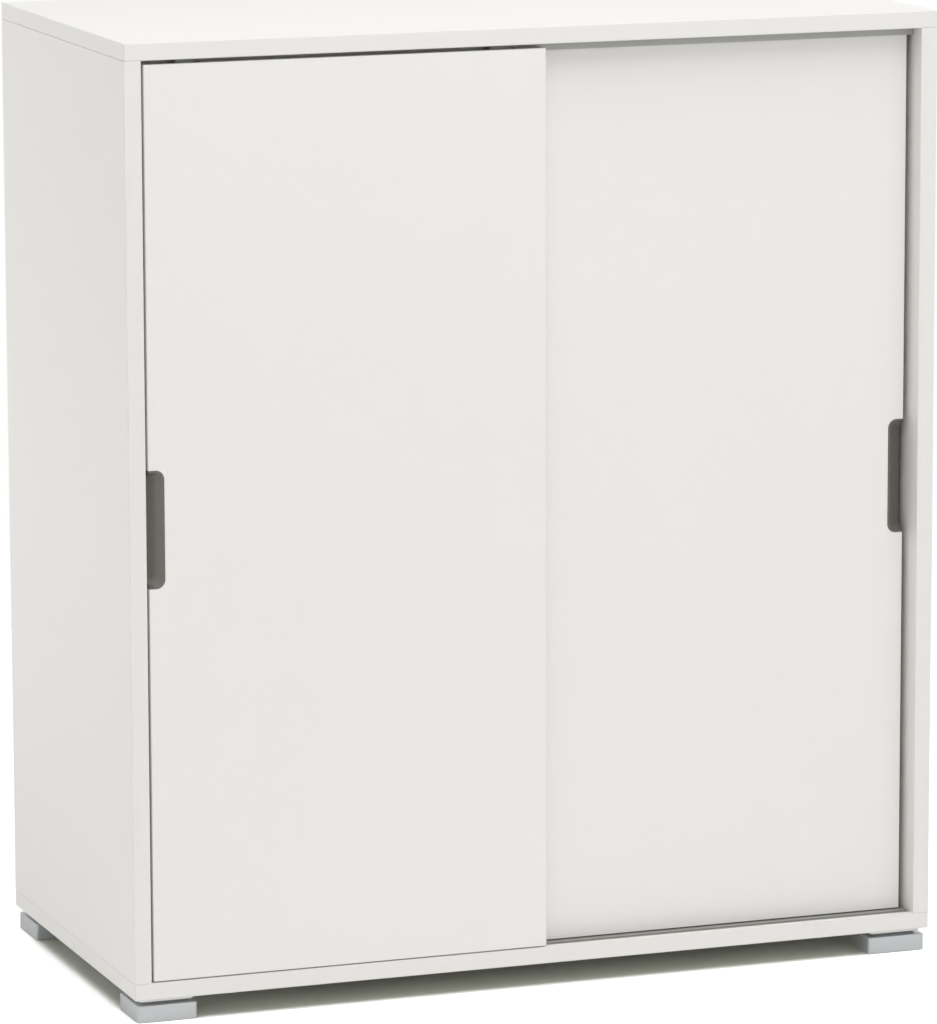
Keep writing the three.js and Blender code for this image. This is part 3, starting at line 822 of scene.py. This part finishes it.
class CABINET_OT_shelf_pins(bpy.types.Operator):
    """Makes the shelf pins, four to a shelf"""

    bl_idname = "cabinet.shelf_pins"
    bl_label = "Shelf pins"

    def execute(self, context):
        for shelf in SHELVES:
            self.make_pins(shelf, context.scene.cabinet_fittings)
        return {"FINISHED"}

    def make_pins(self, shelf, fittings):
        pin, collar = fittings.pin, fittings.pin_collar
        thickness, reach = fittings.pin_collar_thickness, fittings.pin_reach
        nodes = [f"{shelf}_{end}_{side}_pin" for end in ENDS for side in SIDES]
        grids = []
        for node in nodes:
            low, high = corners_of(node)
            centre = (low + high) / 2
            shaft = high[0] - low[0] - reach
            corners = [
                (0, -shaft), (pin, -shaft), (pin, 0), (collar, 0),
                (collar, thickness), (pin, thickness), (pin, reach), (0, reach),
            ]
            profile = rounded_path(corners, PIN_ROUNDINGS)
            left = node.endswith("_left_pin")
            centre[0] = low[0] + shaft if left else high[0] - shaft
            inwards = X_AXIS if left else -X_AXIS
            grids.append(turned(profile, centre, inwards, Z_AXIS, columns=32))
        mesh = grid_mesh(f"{shelf}_shelf_pins", grids)
        add_piece(mesh, "root", [steel_finish()], nodes)


RING_STEPS, EDGE_STEPS = 10, 5


def square_ring(half, corner, height):
    """A ring round a square with rounded corners.

    In each quadrant the points are (half - corner) towards the corner plus corner times
    (cos(angle), sin(angle)).
    """
    quarter = np.linspace(0, np.pi / 2, RING_STEPS)
    angles = (np.arange(4)[:, None] * np.pi / 2 + quarter).ravel()
    towards = np.repeat(np.array([(1, 1), (-1, 1), (-1, -1), (1, -1)], float), RING_STEPS, axis=0)
    flat = towards * (half - corner) + corner * np.stack([np.cos(angles), np.sin(angles)], axis=1)
    return np.column_stack([flat, np.full(len(flat), height)])


def round_ring(radius, height):
    """A circle with as many points as a square ring, in step with it."""
    quarter = (np.arange(RING_STEPS) + 0.5) / RING_STEPS * np.pi / 2
    angles = (np.arange(4)[:, None] * np.pi / 2 + quarter).ravel()
    return np.column_stack(
        [radius * np.cos(angles), radius * np.sin(angles), np.full(len(angles), height)]
    )


def edge_rings(half, corner, radius, height, turn):
    """Rings over a rounded edge. turn is 1 where it turns from a top face down to the side.

    The edge steps in by radius (1 - sin(angle)) and down by radius (1 - cos(angle)).
    """
    angles = np.linspace(0, np.pi / 2, EDGE_STEPS)
    steps = [(radius * (1 - math.sin(a)), turn * radius * (1 - math.cos(a))) for a in angles]
    rings = [square_ring(half - inset, corner - inset, height - drop) for inset, drop in steps]
    return rings if turn > 0 else rings[::-1]


class CABINET_OT_feet(bpy.types.Operator):
    """Makes the four feet: a block with a counterbore, and a plate with a neck"""

    bl_idname = "cabinet.feet"
    bl_label = "Feet"

    def execute(self, context):
        finishes, fittings = context.scene.cabinet_finishes, context.scene.cabinet_fittings
        paint = finish("silver-grey paint", silver_paint, finishes.foot)
        # The second plastic, on the necks, is a darker grey that paints the shade under each plate
        plastics = [
            finish("white plate plastic", moulded_plastic, finishes.foot_plate, 0.45),
            finish("grey neck plastic", moulded_plastic, finishes.foot_neck, 0.45),
        ]
        for foot in FEET:
            mesh = self.block(f"{foot}_block", fittings)
            add_piece(mesh, "root", [paint], [f"{foot}_block"])
            mesh = self.plate(f"{foot}_plate", fittings)
            add_piece(mesh, "root", plastics, [f"{foot}_plate"])
        return {"FINISHED"}

    def block(self, node, fittings):
        """Rings from the screw hole over the top, down the sides and up the counterbore."""
        low, high = corners_of(node)
        half, top = (high[0] - low[0]) / 2, high[2] - low[2]
        corner, edge = fittings.foot_corner, fittings.foot_edge
        hole, bore = fittings.foot_hole, fittings.foot_counterbore
        chamfer = edge / 2
        rings = [
            round_ring(hole, top),
            *edge_rings(half, corner, edge, top, 1),
            *edge_rings(half, corner, edge, 0, -1),
            round_ring(bore + chamfer, 0),
            round_ring(bore, chamfer),
            round_ring(bore, fittings.foot_counterbore_depth),
            round_ring(hole, fittings.foot_counterbore_depth),
        ]
        return self.placed(f"{node}_casting", rings, low, high)

    def plate(self, node, fittings):
        """Rings from the hole over the plate's top, down its side, in to the neck and down it.

        The neck's faces have the second material, a darker grey that paints the shade under the
        plate.
        """
        low, high = corners_of(node)
        half, top = (high[0] - low[0]) / 2, high[2] - low[2]
        corner, edge = fittings.foot_corner, fittings.foot_edge / 2
        hole = fittings.foot_hole
        neck = half - fittings.plate_overhang
        shoulder = top - fittings.plate_thickness
        rings = [
            round_ring(hole, top),
            *edge_rings(half, corner, edge, top, 1),
            *edge_rings(half, corner, edge, shoulder, -1),
            square_ring(neck, corner, shoulder),
            square_ring(neck, corner, 0),
            round_ring(hole, 0),
        ]
        mesh = self.placed(f"{node}_moulding", rings, low, high)
        limit = low[2] + shoulder - MERGE_DISTANCE
        for face in mesh.polygons:
            face.material_index = int(face.center.z < limit)
        return mesh

    def placed(self, name, rings, low, high):
        """The rings as a closed mesh, on the floor point of a CAD node's box."""
        floor_point = np.array([(low[0] + high[0]) / 2, (low[1] + high[1]) / 2, low[2]])
        return grid_mesh(name, [np.stack(rings) + floor_point], wrap_rows=True)


# Screws and cover caps

HEAD_COLUMNS = 64
DOME_SHARES = np.concatenate([np.linspace(0, 0.68, 14), np.linspace(0.72, 1, 8)])
BAR_HALF_WIDTH, BAR_WALL = 0.11, 0.05
BAR_REACH, BAR_END = 0.58, 0.1
CROSS_DEPTH = 0.62
DISH_RADIUS, RIM_RADIUS, DISH_HEIGHT = 0.8, 0.86, 0.8
BACK_SCREW_SHARES = np.array([0.12, 0.5, 0.88])


def across_of(out):
    """An axis at right angles to out."""
    return Z_AXIS if abs(out[2]) < 0.5 else X_AXIS


def pan_head(place, out, radius, height):
    """The head of a cross-recess screw that stands out of a face.

    Over the disc of shares r the head rises by height * (1 - r^4)^(1/2). A cross is sunk into it
    by a share of the height times ((w - b) / wall) times ((l - a) / end), each held between 0
    and 1: b and a are the smaller and the larger of the two distances from the centre lines, w is
    a bar's half width and l its reach.
    """
    across = across_of(out)
    second = np.cross(out, across)
    shares = DOME_SHARES[:, None]
    angles = np.linspace(0, 2 * np.pi, HEAD_COLUMNS, endpoint=False)[None]
    rise = height * np.sqrt(np.clip(1 - shares**4, 0, 1)) + 0 * angles
    u, v = shares * np.cos(angles), shares * np.sin(angles)
    beside = np.minimum(np.abs(u), np.abs(v))
    along = np.maximum(np.abs(u), np.abs(v))
    inside = np.clip((BAR_HALF_WIDTH - beside) / BAR_WALL, 0, 1)
    inside = inside * np.clip((BAR_REACH - along) / BAR_END, 0, 1)
    rise = rise - CROSS_DEPTH * height * inside
    flat = radius * (u[..., None] * across + v[..., None] * second)
    top = np.asarray(place) + flat + rise[..., None] * out
    base = np.asarray(place) + 0 * top[:1]
    return np.concatenate([top, base])


def cover_cap(place, out, radius, height):
    """A flat plastic cap turned about its axis: a shallow dish inside a rounded rim."""
    dish = height * DISH_HEIGHT
    corners = [
        (0, dish), (radius * DISH_RADIUS, dish), (radius * RIM_RADIUS, height),
        (radius, height), (radius, 0), (0, 0),
    ]
    roundings = (0, radius * 0.1, radius * 0.05, height * 0.8, 0, 0)
    return turned(rounded_path(corners, roundings), place, out, across_of(out))


class CABINET_OT_screws(bpy.types.Operator):
    """Adds the screws of the door fittings, the feet and the back"""

    bl_idname = "cabinet.screws"
    bl_label = "Screws"

    def execute(self, context):
        fittings = context.scene.cabinet_fittings
        for door in DOORS:
            heads = []
            for side in SIDES:
                heads += self.housing_screws(f"{door}_{side}_roller_housing", fittings)
                heads += self.guide_screws(f"{door}_{side}_guide", fittings)
            self.add(f"{door}_screws", door, heads)
        self.add("foot_screws", "root", self.foot_screws(fittings))
        self.add("back_screws", "root", self.back_screws(fittings))
        return {"FINISHED"}

    def add(self, name, body, heads):
        add_piece(grid_mesh(name, heads), body, [steel_finish()])

    def housing_screws(self, node, fittings):
        """One screw each side of the wheel arch, halfway up the housing."""
        low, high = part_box(node)
        middle, height = (low.x + high.x) / 2, (low.z + high.z) / 2
        shifts = (-fittings.housing_screw, fittings.housing_screw)
        places = [(middle + shift, high.y, height) for shift in shifts]
        return [pan_head(p, Y_AXIS, fittings.screw, fittings.screw_height) for p in places]

    def guide_screws(self, node, fittings):
        """One screw in the block that is let into the door."""
        low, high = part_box(node)
        place = ((low.x + high.x) / 2, high.y, low.z + fittings.guide_screw)
        return [pan_head(place, Y_AXIS, fittings.screw, fittings.screw_height)]

    def foot_screws(self, fittings):
        """A larger head up in each foot's counterbore."""
        heads = []
        size = (fittings.foot_screw, fittings.foot_screw_height)
        for foot in FEET:
            low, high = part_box(f"{foot}_block")
            centre = (low + high) / 2
            place = (centre.x, centre.y, low.z + fittings.foot_counterbore_depth)
            heads.append(pan_head(place, -Z_AXIS, *size))
        return heads

    def back_screws(self, fittings):
        """Three screws through the back panel into the partition."""
        low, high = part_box("back_panel")
        heights = low.z + (high.z - low.z) * BACK_SCREW_SHARES
        size = (fittings.screw, fittings.screw_height)
        return [pan_head((0.0, high.y, z), Y_AXIS, *size) for z in heights]


class CABINET_OT_cover_caps(bpy.types.Operator):
    """Adds the cover caps over the carcass's cam fittings"""

    bl_idname = "cabinet.cover_caps"
    bl_label = "Cover caps"

    def execute(self, context):
        fittings = context.scene.cabinet_fittings
        tone = context.scene.cabinet_finishes.carcass
        plastic = finish("white plastic", moulded_plastic, tone, 0.4, 1600.0)
        caps = []
        faces = [
            (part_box("left_side_panel")[1].x, X_AXIS),
            (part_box("right_side_panel")[0].x, -X_AXIS),
            (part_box("centre_partition")[0].x, -X_AXIS),
        ]
        low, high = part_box("centre_partition")
        for x, out in faces:
            for y in (low.y + fittings.cap_front, high.y - fittings.cap_rear):
                for z in (low.z + fittings.cap_end, high.z - fittings.cap_end):
                    caps.append(cover_cap((x, y, z), out, fittings.cap, fittings.cap_height))
        add_piece(grid_mesh("cover_caps", caps), "root", [plastic])
        return {"FINISHED"}


# Stage

# How far the floor's shade reaches, the openness over which it clears, the distances over which
# the floor fades to white, and the lines of its grid
SHADE_REACH = 0.25
SHADE_OPENNESS = (0.25, 0.6)
FADE_DISTANCES = (0.9, 2.4)
FLOOR_LINES = np.linspace(-40, 40, 9)
LAMPS = {
    "top": {"place": (0, -1.15, 3.3), "target": (0, 0, 0.4), "size": 3.0},
    "front": {"place": (0, -4.4, 1.3), "target": (0, 0, 0.5), "size": 2.4},
    "left": {"place": (-2.5, 0.9, 0.15), "target": (-0.4, 0, 0.1), "size": 1.2},
    "right": {"place": (3.2, -3.4, 2.2), "target": (0, 0, 0.5), "size": 3.0},
}


class CABINET_OT_stage(bpy.types.Operator):
    """Sets up the floor, the surroundings, the lamps and the camera"""

    bl_idname = "cabinet.stage"
    bl_label = "Stage"

    def execute(self, context):
        scene = context.scene
        studio = scene.cabinet_studio
        scene.view_settings.view_transform = "Standard"
        self.floor(studio)
        self.surroundings(scene, studio)
        for side, layout in LAMPS.items():
            self.lamp(f"{side}_softbox", getattr(studio, f"{side}_lamp"), **layout)
        self.camera(scene, studio)
        return {"FINISHED"}

    def floor(self, studio):
        """A wide plane. Where it is seen, it fades to plain white away from the cabinet.

        Near the cabinet its tone follows how open it is to the room within the shade's reach.
        """
        material = bpy.data.materials.new("studio floor")
        material.use_nodes = True
        nodes = Nodes(material.node_tree)
        nodes.tree.nodes.remove(nodes.tree.nodes["Principled BSDF"])
        smoothly = {"interpolation_type": "SMOOTHSTEP"}
        cover = nodes.node("ShaderNodeAmbientOcclusion", {"Distance": SHADE_REACH}).outputs["AO"]
        openness = nodes.ranged(cover, 0, 1, *SHADE_OPENNESS, **smoothly)
        camera = nodes.node("ShaderNodeLightPath", {}).outputs["Is Camera Ray"]
        open_tone = nodes.mixed(camera, studio.floor_bounce, studio.floor_seen)
        near_tone = nodes.mixed(openness, studio.floor_shade, open_tone)
        near = nodes.node("ShaderNodeBsdfDiffuse", {"Color": near_tone})
        place = nodes.node("ShaderNodeTexCoord", {}).outputs["Object"]
        distance = nodes.node("ShaderNodeVectorMath", {0: place}, operation="LENGTH")
        fade = nodes.ranged(distance.outputs["Value"], 0, 1, *FADE_DISTANCES, **smoothly)
        seen = nodes.blended(fade, near, nodes.node("ShaderNodeEmission", {}))
        bounce = nodes.node("ShaderNodeBsdfDiffuse", {"Color": opaque(studio.floor_bounce)})
        both = nodes.blended(nodes.seen_directly(), bounce, seen)
        surface = nodes.tree.nodes["Material Output"].inputs["Surface"]
        nodes.tree.links.new(both.outputs[0], surface)
        x, y = np.meshgrid(FLOOR_LINES, FLOOR_LINES, indexing="ij")
        plane = np.stack([x, y, 0 * x], axis=-1)
        mesh = grid_mesh("studio_floor", [plane], wrap_columns=False)
        mesh.materials.append(material)
        floor = linked(mesh)

    def surroundings(self, scene, studio):
        """White where it is seen, and a weaker soft light everywhere else."""
        world = bpy.data.worlds.new("studio")
        world.use_nodes = True
        scene.world = world
        nodes = Nodes(world.node_tree)
        background = nodes.tree.nodes["Background"]
        background.inputs["Color"].default_value = (1, 1, 1, 1)
        strength = nodes.ranged(nodes.seen_directly(), studio.sky, 1)
        nodes.tree.links.new(strength, background.inputs["Strength"])

    def lamp(self, name, watts, place, target, size):
        """A square soft lamp that faces a point and that gloss doesn't show."""
        data = bpy.data.lights.new(name, "AREA")
        data.energy = watts
        data.size = size
        lamp = linked(data)
        lamp.location = place
        direction = Vector(target) - Vector(place)
        lamp.rotation_euler = direction.to_track_quat("-Z", "Y").to_euler()
        lamp.visible_glossy = False

    def camera(self, scene, studio):
        """The view is turned by yaw and pitch, and then rolled about its own line."""
        data = bpy.data.cameras.new("camera")
        data.lens = studio.lens
        camera = linked(data)
        yaw, pitch, roll = studio.yaw, studio.pitch, studio.roll
        level = math.cos(pitch)
        forward = Vector((math.sin(yaw) * level, math.cos(yaw) * level, -math.sin(pitch)))
        right = Vector((math.cos(yaw), -math.sin(yaw), 0))
        up = right.cross(forward)
        rolled_right = math.cos(roll) * right + math.sin(roll) * up
        rolled_up = -math.sin(roll) * right + math.cos(roll) * up
        turn = Matrix((rolled_right, rolled_up, -forward)).transposed()
        camera.matrix_world = Matrix.LocRotScale(Vector(studio.camera_place), turn, None)
        scene.camera = camera


class CABINET_PT_panel(bpy.types.Panel):
    """Lists the steps that dress the cabinet"""

    bl_idname = "CABINET_PT_panel"
    bl_label = "Cabinet"
    bl_space_type = "VIEW_3D"
    bl_region_type = "UI"
    bl_category = "Cabinet"

    def draw(self, context):
        for operator in OPERATORS:
            self.layout.operator(operator.bl_idname)


OPERATORS = (
    CABINET_OT_stage,
    CABINET_OT_carcass,
    CABINET_OT_shelves,
    CABINET_OT_doors,
    CABINET_OT_tracks,
    CABINET_OT_pulls,
    CABINET_OT_wheels,
    CABINET_OT_housings,
    CABINET_OT_shelf_pins,
    CABINET_OT_feet,
    CABINET_OT_screws,
    CABINET_OT_cover_caps,
)
SETTINGS = {
    "cabinet_finishes": CabinetFinishes,
    "cabinet_edges": CabinetEdges,
    "cabinet_pulls": CabinetPulls,
    "cabinet_fittings": CabinetFittings,
    "cabinet_studio": CabinetStudio,
}


def register():
    for group in SETTINGS.values():
        bpy.utils.register_class(group)
    for name, group in SETTINGS.items():
        setattr(bpy.types.Scene, name, PointerProperty(type=group))
    for operator in OPERATORS:
        bpy.utils.register_class(operator)
    bpy.utils.register_class(CABINET_PT_panel)


def unregister():
    bpy.utils.unregister_class(CABINET_PT_panel)
    for operator in reversed(OPERATORS):
        bpy.utils.unregister_class(operator)
    for name in SETTINGS:
        delattr(bpy.types.Scene, name)
    for group in reversed(SETTINGS.values()):
        bpy.utils.unregister_class(group)


def main():
    """Makes the stage and every piece."""
    register()
    for operator in OPERATORS:
        getattr(bpy.ops.cabinet, operator.bl_idname.removeprefix("cabinet."))()


if __name__ == "__main__":
    main()
